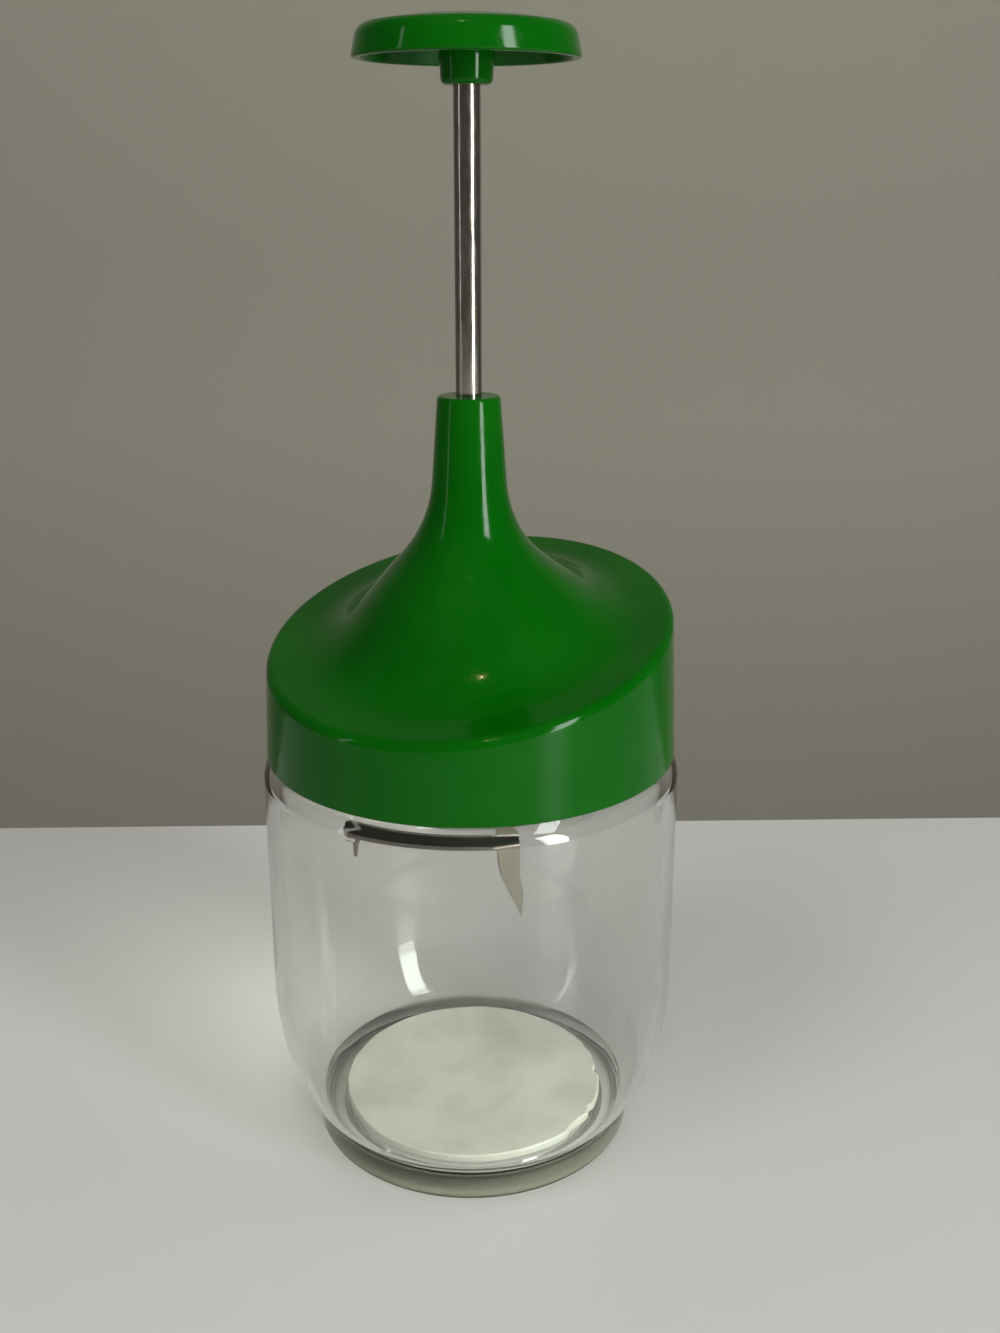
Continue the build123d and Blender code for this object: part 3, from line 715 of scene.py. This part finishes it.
# ---- the jar ------------------------------------------------------------------------------------
@dataclass
class GlassJar:
    """The pressed glass jar: foot ring, elliptical lower wall, straight wall, shoulder and neck."""

    wall: float = 3.2
    curve_x: float = 16.0
    curve_z: float = 37.5
    curve_top: float = 44.0
    shoulder_z: float = 98.6
    neck_r: float = 46.4
    mouth_r: float = 43.0
    foot_r: float = 40.6
    foot_h: float = 9.2
    floor_z: float = 8.0
    floor_r: float = 35.0
    corner_power: float = 0.54
    neck_in_z: float = 104.4
    wall_in_z: float = 98.9
    foot_inner_r: float = 35.0
    foot_chamfer: float = 2.4
    foot_inner_round: float = 1.2
    foot_round: float = 3.0
    push_up: float = 4.8
    curve_steps: int = 26
    segments: int = 160
    radius: float = field(init=False)
    height: float = field(init=False)

    def __post_init__(self) -> None:
        """Take the overall size from the frame."""
        low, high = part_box("glass_jar")
        self.radius = high.x / MM
        self.height = high.z / MM

    def outside_r(self, height: float) -> float:
        """Outer radius of the lower wall at a height."""
        drop = (self.curve_top - height) / self.curve_z
        return self.radius - self.curve_x + self.curve_x * math.sqrt(1 - drop * drop)

    def inside_r(self, height: float) -> float:
        """Inner radius of the lower wall, whose glass thickens towards the floor.

        Args:
            height: height above the table.

        Returns:
            The radius at that height.
        """
        drop = (self.curve_top - height) / (self.curve_top - self.floor_z)
        inner = self.radius - self.wall
        return self.floor_r + (inner - self.floor_r) * max(0.0, 1 - drop * drop) ** self.corner_power

    def outline(self) -> list[Point]:
        """Draw the outline from the axis under the foot round to the axis on the floor.

        Returns:
            The closed outline's points.
        """
        shoulder = self.radius - self.neck_r
        foot = rounded([
            (0, self.push_up, 0), (self.foot_inner_r - self.foot_chamfer, self.push_up, self.foot_chamfer),
            (self.foot_inner_r + 0.6, 0, self.foot_inner_round), (self.foot_r, 0, self.foot_round),
            (self.foot_r + 0.35, self.foot_h - 0.2, 0.0)])
        turns = [math.cos(math.pi / 2 * step / self.curve_steps) for step in range(self.curve_steps + 1)]
        rise = self.curve_top - self.foot_h
        wall = [(self.outside_r(self.foot_h + rise * (1 - c)), self.foot_h + rise * (1 - c)) for c in turns]
        top = rounded([
            (self.radius, self.curve_top + 2, 0), (self.radius, self.shoulder_z + shoulder, shoulder),
            (self.neck_r, self.shoulder_z + shoulder, 0.6), (self.neck_r, self.height, 1.2),
            (self.mouth_r, self.height, 1.0), (self.mouth_r, self.neck_in_z, 3.0),
            (self.radius - self.wall, self.wall_in_z, 3.0),
            (self.radius - self.wall, self.curve_top + 2, 0)])
        inner_rise = self.curve_top - self.floor_z
        inside = [(self.inside_r(self.floor_z + inner_rise * c), self.floor_z + inner_rise * c)
                  for c in turns]
        return spread(foot + wall + top + inside + [(0, self.floor_z)], 4.0)

    def build(self) -> bpy.types.Object:
        """Make the jar and dress it in glass.

        Returns:
            The jar.
        """
        jar = lathe("jar_glass", self.outline(), self.segments)
        dress(jar, Finishes.GLASS, "jar", "glass_jar")
        return jar


@dataclass
class ChoppingDisc:
    """The loose board on the jar's floor: a sheet disc cut a little unevenly, with nicks."""

    edge_round: float = 0.45
    wobble: float = 0.35
    nicks: int = 9
    nick_depth: float = 0.8
    seed: int = 11
    segments: int = 360

    def build(self) -> bpy.types.Object:
        """Make the disc, roughen its edge and dress it.

        Returns:
            The disc.
        """
        low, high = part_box("chopping_disc")
        radius, bottom, top = high.x / MM, low.z / MM, high.z / MM
        outline = rounded([
            (0, bottom, 0), (radius, bottom, self.edge_round), (radius, top, self.edge_round), (0, top, 0)])
        disc = lathe("disc_board", spread(outline, 3.0), self.segments)
        draw = random.Random(self.seed)
        cuts = [(draw.uniform(-0.3, 1.5), draw.uniform(0.02, 0.05), draw.uniform(0.3, 1.0))
                for _ in range(self.nicks)]
        for vertex in disc.data.vertices:
            flat = Vector((vertex.co.x, vertex.co.y, 0))
            if flat.length < 0.6 * radius * MM:
                continue
            share = (flat.length / (radius * MM) - 0.6) / 0.4
            turn = math.atan2(flat.y, flat.x)
            uneven = noise.noise(Vector((math.cos(turn) * 3, math.sin(turn) * 3, self.seed))) - 0.25
            shift = self.wobble * uneven
            for at, width, depth in cuts:
                shift -= self.nick_depth * depth * math.exp(-((turn - at) / width) ** 2)
            vertex.co += flat.normalized() * min(0.0, shift) * share * MM
        dress(disc, Finishes.BOARD, "jar", "chopping_disc")
        return disc


# ---- the lid ------------------------------------------------------------------------------------
@dataclass
class SlantedLid:
    """The moulded lid: drafted skirt, slanted top, trumpet neck, and the hollow inside."""

    edge_z: float = 104.3
    slant_z: float = 134.7
    slope: float = 0.25
    draft: float = 0.04
    wall: float = 2.2
    rim_round: float = 2.0
    neck_r: float = 7.3
    knee: Point = (9.5, 160.0)
    cone_foot_r: float = 34.0
    neck_blend: float = 28.0
    cone_blend: float = 20.0
    bore_r: float = 5.6
    roof_z: float = 187.4
    rod_bore_r: float = 3.05
    level_r: float = 10.0
    segments: int = 200

    def skirt_r(self, height: float, inset: float = 0.0) -> float:
        """Radius of the drafted skirt at a height of the level outline."""
        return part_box("lid_shell")[1].x / MM - inset - self.draft * (height - self.edge_z)

    def outline(self) -> list[Point]:
        """Return the lid's closed outline before it is slanted.

        Returns:
            The outline's points.
        """
        top_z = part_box("lid_shell")[1].z / MM
        gap = self.wall * math.sqrt(1 + self.slope ** 2)
        under_z = self.slant_z - gap
        return spread(rounded([
            (self.rod_bore_r, top_z, 0), (self.neck_r, top_z, 0.9),
            (*self.knee, self.neck_blend), (self.cone_foot_r, self.slant_z, self.cone_blend),
            (self.skirt_r(self.slant_z), self.slant_z, self.rim_round),
            (self.skirt_r(self.edge_z), self.edge_z, 0.5),
            (self.skirt_r(self.edge_z, self.wall), self.edge_z, 0.5),
            (self.skirt_r(under_z, self.wall), under_z, 1.5),
            (self.cone_foot_r - 2.0, under_z, 12.0), (7.6, 158.0, 14.0),
            (self.bore_r, 166.0, 2.0), (self.bore_r, self.roof_z, 0.3), (self.rod_bore_r, self.roof_z, 0)],
            step_deg=4.0), 2.5)

    def build(self) -> bpy.types.Object:
        """Turn the outline, slant it by the rule and dress it.

        Returns:
            The lid.
        """
        lid = lathe("lid_cap", self.outline(), self.segments)
        under_z = self.slant_z - self.wall * math.sqrt(1 + self.slope ** 2)
        slant_tree().bake(lid, {
            "Slope": self.slope, "Level Radius": self.level_r * MM,
            "Slanted Radius": self.cone_foot_r * MM, "Skirt Edge": self.edge_z * MM,
            "Top Height": under_z * MM, "Draft": self.draft, "Material": Finishes.GREEN.material})
        dress(lid, Finishes.GREEN, "lid", "lid_shell")
        return lid


@dataclass
class CoverScrews:
    """The three pan-head screws that hold the inner cover."""

    head_r: float = 2.7
    head_h: float = 1.7
    shank_r: float = 1.25
    circle_r: float = 38.0
    recess_r: float = 1.7
    recess_half: float = 0.4
    recess_depth: float = 0.9

    def build(self) -> bpy.types.Object:
        """Make one screw with a round recess and repeat it on the screw circle.

        Returns:
            The three screws as one piece.
        """
        low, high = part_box("cover_screws")
        bottom, top = low.z / MM, high.z / MM
        screw = lathe("cover_screw_heads", spread(rounded([
            (0, bottom + self.recess_depth, 0), (self.recess_half, bottom + self.recess_depth, 0),
            (self.recess_r, bottom + 0.15, 0.1), (self.recess_r + 0.2, bottom, 0.1),
            (self.head_r, bottom, 0.9), (self.head_r, bottom + self.head_h, 0.15),
            (self.shank_r, bottom + self.head_h, 0.1), (self.shank_r, top - 1.2, 0.2),
            (0, top, 0)]), 0.7), 32)
        for vertex in screw.data.vertices:
            vertex.co.x += self.circle_r * MM
        turned_copies_tree().bake(screw, {
            "Count": 3, "Start": math.pi / 2, "Material": Finishes.ZINC.material})
        dress(screw, Finishes.ZINC, "lid", "cover_screws")
        return screw


@dataclass
class ReturnSpring:
    """The compression spring round the rod, wound from wire with closed ends."""

    wire_r: float = 0.5
    turns: float = 15.0
    stroke: float = 61.7

    def build(self) -> bpy.types.Object:
        """Wind the spring.

        Returns:
            The spring.
        """
        low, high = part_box("return_spring")
        bare = finish_mesh("spring_coil", bmesh.new())
        height = (high.z - low.z) / MM
        coil_tree().bake(bare, {
            "Coil Radius": high.x - self.wire_r * MM, "Coil Height": (height - 2 * self.wire_r) * MM,
            "Turns": self.turns, "Foot Height": low.z + self.wire_r * MM, "Wire Radius": self.wire_r * MM,
            "Material": Finishes.WIRE.material})
        dress(bare, Finishes.WIRE, "lid", "return_spring")
        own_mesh(bare)
        return bare


# ---- the plunger --------------------------------------------------------------------------------
@dataclass
class PalmKnob:
    """The hollow palm knob: a shallow dome with a rounded rim, a thin skirt and its hub."""

    rim_r: float = 24.85
    rim_z: float = 261.4
    corner_r: float = 23.4
    corner_z: float = 268.0
    wall: float = 2.1
    roof: float = 2.3
    hub_r: float = 5.6
    bore_r: float = 3.02
    bore_top: float = 267.1
    segments: int = 128

    def dome(self, start_r: float, end_r: float, top: float, steps: int = 10) -> list[Corner]:
        """Find the points of the knob's shallow dome.

        Args:
            start_r: radius of the first point.
            end_r: radius of the last point.
            top: height of the dome's middle.
            steps: number of stretches.

        Returns:
            The points, as corners without rounding.
        """
        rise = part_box("knob")[1].z / MM - self.corner_z
        radii = [start_r + (end_r - start_r) * step / steps for step in range(steps + 1)]
        return [(r, top - rise * (r / self.corner_r) ** 2, 0.0) for r in radii]

    def build(self) -> bpy.types.Object:
        """Turn the knob's outline and dress it.

        Returns:
            The knob.
        """
        low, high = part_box("knob")
        bottom, top = low.z / MM, high.z / MM
        under = self.dome(self.hub_r + 0.7, self.corner_r - self.wall, top - self.roof)
        over = self.dome(self.corner_r, 0, top)
        outline = rounded([
            (0, self.bore_top, 0), (self.bore_r, self.bore_top, 0.2), (self.bore_r, bottom, 0.2),
            (self.hub_r, bottom, 1.3), (*under[0][:2], 1.0), *under[3:-3], (*under[-1][:2], 1.6),
            (self.rim_r - self.wall, self.rim_z, 0.6), (self.rim_r, self.rim_z, 0.6),
            (*over[0][:2], 3.2), *over[3:]], step_deg=7.0)
        knob = lathe("knob_cap", spread(outline, 3.0), self.segments)
        dress(knob, Finishes.GREEN, "plunger", "knob")
        return knob


@dataclass
class PlungerRod:
    """The steel bar with its clip groove and threaded stud."""

    rod_r: float = 3.0
    stud_r: float = 2.0
    groove_r: float = 2.3
    segments: int = 64

    def build(self) -> bpy.types.Object:
        """Turn the rod and dress it in polished steel.

        Returns:
            The rod.
        """
        low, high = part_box("plunger_rod")
        clip_low, clip_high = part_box("retaining_clip")
        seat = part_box("cutter_collar")[0].z / MM
        groove = (clip_low.z / MM - 0.05, clip_high.z / MM + 0.05)
        outline = rounded([
            (0, low.z / MM, 0), (self.stud_r, low.z / MM, 0.4), (self.stud_r, seat, 0),
            (self.rod_r, seat, 0.2), (self.rod_r, groove[0], 0.05), (self.groove_r, groove[0], 0),
            (self.groove_r, groove[1], 0), (self.rod_r, groove[1], 0.05),
            (self.rod_r, high.z / MM, 0.5), (0, high.z / MM, 0)])
        rod = lathe("rod_bar", spread(outline, 12.0), self.segments)
        dress(rod, Finishes.BAR, "plunger", "plunger_rod")
        return rod


SMALL_PARTS: dict[str, Finishes] = {
    "inner_cover": Finishes.GREEN,
    "mouth_gasket": Finishes.RUBBER,
    "guide_bush": Finishes.NYLON,
    "lower_spring_washer": Finishes.ZINC,
    "upper_spring_washer": Finishes.ZINC,
    "retaining_clip": Finishes.WIRE,
    "damping_ring": Finishes.RUBBER,
    "cutter": Finishes.SHEET,
    "cutter_collar": Finishes.BAR,
    "cutter_washer": Finishes.SHEET,
    "cutter_nut": Finishes.BAR,
}


# ---- stage, light and camera --------------------------------------------------------------------
@dataclass
class SoftLight:
    """One soft box of the studio, placed by direction from the object's middle."""

    name: str
    azimuth: float
    elevation: float
    distance: float
    width: float
    height: float
    watts: float
    colour: str
    reflected: bool

    def build(self, target: Vector) -> None:
        """Place the soft box and turn it towards the target.

        Args:
            target: the point that the box faces.
        """
        lamp = bpy.data.lights.new(self.name, "AREA")
        lamp.shape = "RECTANGLE"
        lamp.size, lamp.size_y = self.width, self.height
        lamp.energy = self.watts
        lamp.color = linear(self.colour)[:3]
        turn, rise = math.radians(self.azimuth), math.radians(self.elevation)
        way = Vector((math.sin(turn) * math.cos(rise), -math.cos(turn) * math.cos(rise), math.sin(rise)))
        box = bpy.data.objects.new(self.name, lamp)
        box.location = target + way * self.distance
        box.rotation_euler = (-way).to_track_quat("-Z", "Y").to_euler()
        box.visible_glossy = self.reflected
        box.visible_transmission = self.reflected
        bpy.context.scene.collection.objects.link(box)


@dataclass
class Studio:
    """Pale floor and backdrop, soft boxes and camera."""

    camera_azimuth: float = 30.0
    camera_side: float = -0.00835
    camera_distance: float = 0.3386
    camera_height: float = 0.2378
    pitch: float = 18.5
    yaw: float = 2.62
    lens: float = 39.65
    floor_colour: str = "#dcdcdb"
    wall_colour: str = "#a8a296"
    wall_azimuth: float = 28.84
    table_edge: float = 0.181
    wall_distance: float = 1.15
    wall_height: float = 2.0
    table_height: float = 0.5
    floor_reach: float = 2.4
    light_target: float = 0.13
    world_colour: str = "#d5d6d6"
    world_strength: float = 0.14
    lights: tuple[SoftLight, ...] = (
        SoftLight("room_fill", 10.0, 74.0, 1.6, 2.2, 2.2, 7.6, "#fefdff", False),
        SoftLight("key_left", -16.0, 51.0, 1.3, 0.42, 0.42, 3.6, "#fffaf2", False),
        SoftLight("window_right", 73.0, 12.0, 1.4, 0.28, 1.3, 24.0, "#eef5f0", True),
        SoftLight("window_left", -42.0, 14.0, 1.8, 0.10, 1.2, 1.3, "#f4f6f2", True),
        SoftLight("ceiling_lamp", 22.0, 64.0, 1.2, 0.02, 0.02, 0.5, "#ffd9a0", True),
    )

    def plain(self, name: str, colour: str, roughness: float) -> bpy.types.Material:
        """Make a plain stage material.

        Args:
            name: the material's name.
            colour: its colour as "#rrggbb".
            roughness: its roughness.

        Returns:
            The material.
        """
        material = bpy.data.materials.new(name)
        material.use_nodes = True
        tree = material.node_tree
        shader = tree.nodes["Principled BSDF"]
        shader.inputs["Base Color"].default_value = linear(colour)
        shader.inputs["Roughness"].default_value = roughness
        return material

    def build_stage(self) -> None:
        """Make the table top, the room's floor and the backdrop that rises behind them."""
        turn = Matrix.Rotation(math.radians(self.wall_azimuth), 4, "Z")
        wide, edge, back = self.floor_reach, self.table_edge, self.wall_distance
        low, high = -self.table_height, self.wall_height
        pale = self.plain("stage_floor", self.floor_colour, 0.45)
        parts = {
            "stage_floor": [(-wide, -wide, 0), (wide, -wide, 0), (wide, edge, 0), (-wide, edge, 0)],
            "stage_room": [(-wide, -wide, low), (wide, -wide, low), (wide, back, low), (-wide, back, low)],
            "stage_wall": [(-wide, back, low), (wide, back, low), (wide, back, high), (-wide, back, high)],
        }
        wall = self.plain("stage_wall", self.wall_colour, 0.8)
        for name, corners in parts.items():
            mesh = bpy.data.meshes.new(name)
            mesh.from_pydata([turn @ Vector(c) for c in corners], [], [(0, 1, 2, 3)])
            mesh.materials.append(wall if name == "stage_wall" else pale)
            panel = bpy.data.objects.new(name, mesh)
            bpy.context.scene.collection.objects.link(panel)

    def build_light(self) -> None:
        """Light the stage: an even world and the soft boxes."""
        world = bpy.data.worlds.new("studio_air")
        world.use_nodes = True
        background = world.node_tree.nodes["Background"]
        background.inputs["Color"].default_value = linear(self.world_colour)
        background.inputs["Strength"].default_value = self.world_strength
        bpy.context.scene.world = world
        for light in self.lights:
            light.build(Vector((0, 0, self.light_target)))

    def build_camera(self) -> None:
        """Place the camera in front of the object, a little above the lid."""
        turn = Matrix.Rotation(math.radians(self.camera_azimuth), 4, "Z")
        data = bpy.data.cameras.new("camera")
        data.lens = self.lens
        data.sensor_width = 36.0
        data.clip_start = 0.01
        camera = bpy.data.objects.new("camera", data)
        camera.location = turn @ Vector((self.camera_side, -self.camera_distance, self.camera_height))
        heading = math.radians(self.camera_azimuth - self.yaw)
        camera.rotation_euler = (math.radians(90 - self.pitch), 0, heading)
        bpy.context.scene.collection.objects.link(camera)
        bpy.context.scene.camera = camera

    def set_colours(self) -> None:
        """Keep colours plain, and let light pass the glass as often as it needs."""
        scene = bpy.context.scene
        scene.view_settings.view_transform = "Standard"
        scene.cycles.max_bounces = 24
        scene.cycles.transmission_bounces = 24
        scene.cycles.transparent_max_bounces = 24

    def build(self) -> None:
        """Build stage, light and camera."""
        self.set_colours()
        self.build_stage()
        self.build_light()
        self.build_camera()


def main() -> None:
    """Build every sub-assembly in order."""
    logging.basicConfig(level=logging.INFO, format="%(name)s: %(message)s")
    Studio().build()
    for part in (GlassJar(), ChoppingDisc(), SlantedLid(), CoverScrews(), ReturnSpring(), PalmKnob(),
                 PlungerRod()):
        part.build()
    for node, finish in SMALL_PARTS.items():
        dress_node(node, finish)


if __name__ == "__main__":
    main()
